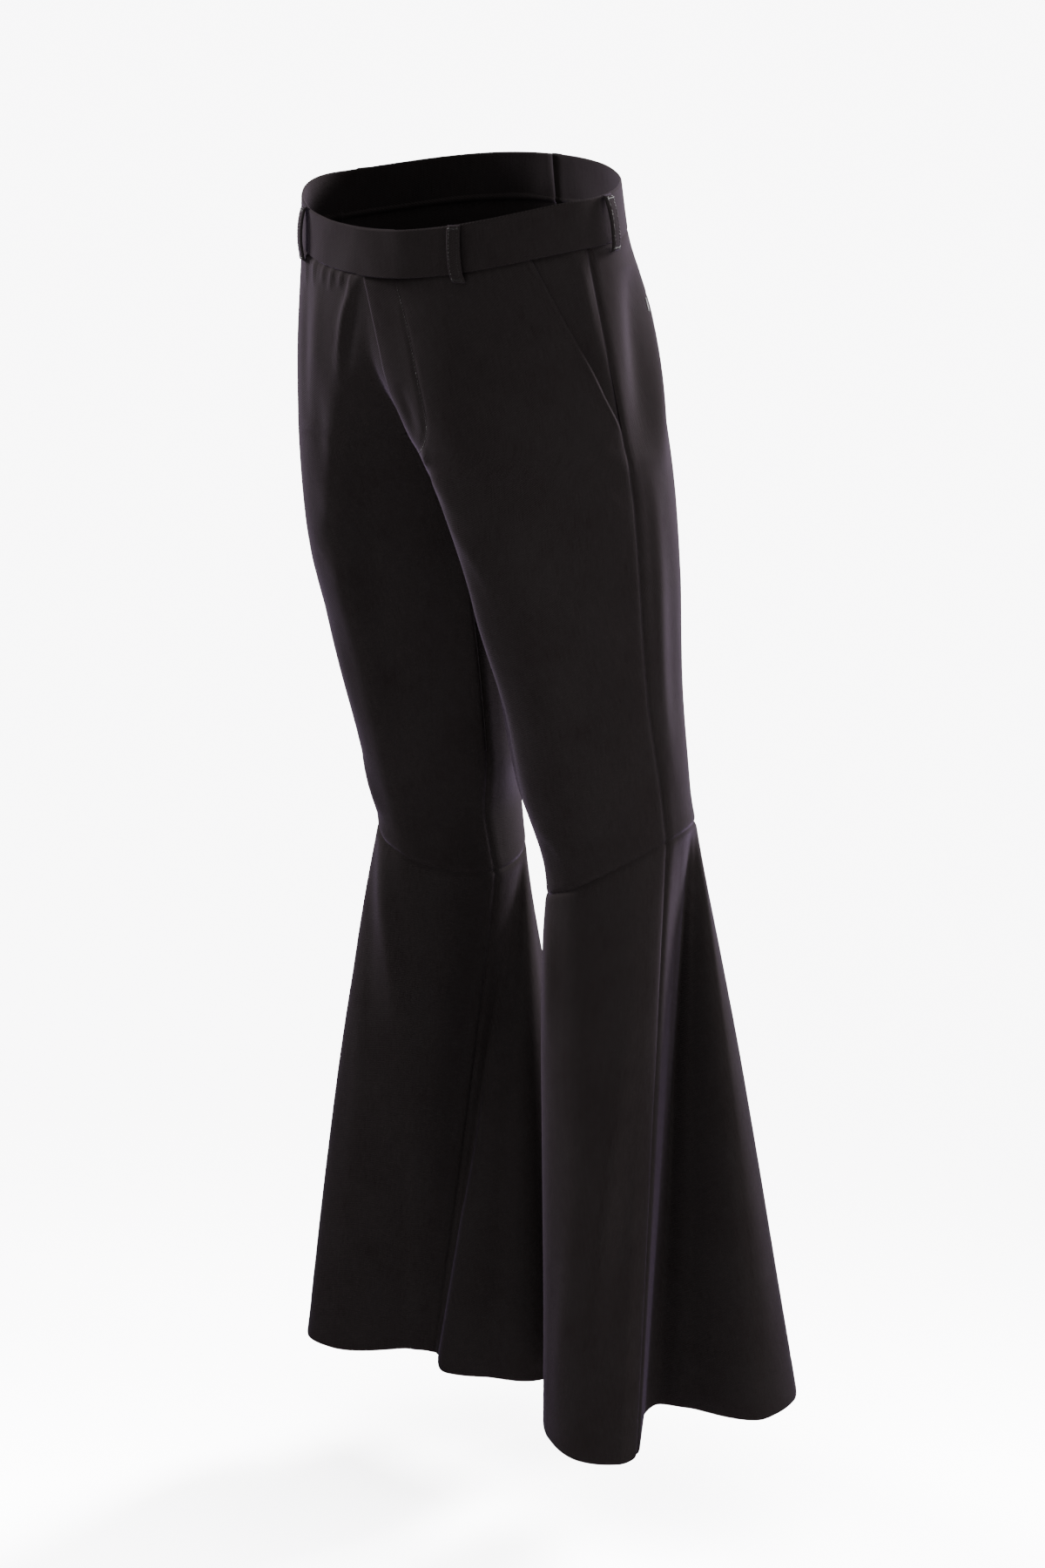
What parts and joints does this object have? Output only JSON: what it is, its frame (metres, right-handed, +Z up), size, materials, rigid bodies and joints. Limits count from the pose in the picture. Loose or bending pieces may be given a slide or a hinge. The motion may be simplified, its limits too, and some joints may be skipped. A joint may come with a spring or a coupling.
{
  "type": "flared trousers",
  "caption": "Worn, hollow pair of dark suiting trousers, close to the knee and widely flared below a knee seam, with waistband, belt loops, slant pockets and welt back pockets.",
  "frame": {"origin": "centre of the waist opening, level with the waistband's top edge at the side seams", "axes": "+Z up, towards the waist opening; +X to the wearer's left; -Y is the front"},
  "size_m": [0.4366, 0.27, 0.9923],
  "materials": {
    "twill_suiting": "fine dark twill, near black with a warm grey bloom where it turns away",
    "polyester_button": "dark moulded polyester, half gloss"
  },
  "bodies": {
    "root": {"waistband_left": "twill_suiting", "front_left": "twill_suiting", "back_left": "twill_suiting", "pocket_bearer_left": "twill_suiting", "flare_front_left": "twill_suiting", "flare_back_left": "twill_suiting", "back_welt_left": "twill_suiting", "belt_loop_front_left": "twill_suiting", "belt_loop_back_left": "twill_suiting", "back_button_left": "polyester_button", "waistband_right": "twill_suiting", "front_right": "twill_suiting", "back_right": "twill_suiting", "pocket_bearer_right": "twill_suiting", "flare_front_right": "twill_suiting", "flare_back_right": "twill_suiting", "back_welt_right": "twill_suiting", "belt_loop_front_right": "twill_suiting", "belt_loop_back_right": "twill_suiting", "back_button_right": "polyester_button", "belt_loop_centre_back": "twill_suiting"}
  },
  "joints": []
}
